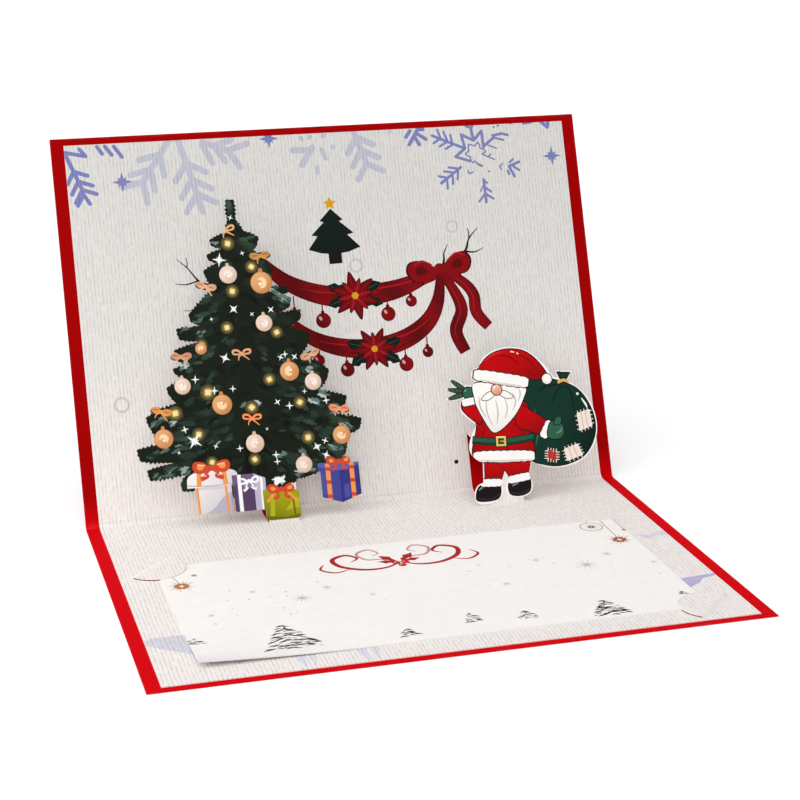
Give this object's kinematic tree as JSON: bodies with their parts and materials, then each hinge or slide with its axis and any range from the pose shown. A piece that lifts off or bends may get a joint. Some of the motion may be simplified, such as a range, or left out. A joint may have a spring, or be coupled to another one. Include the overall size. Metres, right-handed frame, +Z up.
{
  "type": "pop-up greeting card",
  "caption": "Folded greeting card standing open, its lining cut into steps that carry a die-cut fir tree and a figure, with a message card tucked under corner flaps.",
  "frame": {"origin": "middle of the lower panel's underside, on the surface that the card stands on", "axes": "+X along the fold, +Y from the front edge to the fold, +Z up"},
  "size_m": [0.21, 0.201, 0.1383],
  "materials": {
    "cover_card": "smooth matt red card",
    "liner_paper": "white laid paper with fine ribs and printed ornaments",
    "tree_print": "printed paper, dark green with coloured ornaments",
    "figure_print": "printed paper, red, white, green and black",
    "message_paper": "smooth white writing card with pale print"
  },
  "bodies": {
    "root": {"cover": "cover_card", "liner": "liner_paper", "tree_cutout": "tree_print", "figure_cutout": "figure_print", "message_card": "message_paper"}
  },
  "joints": []
}
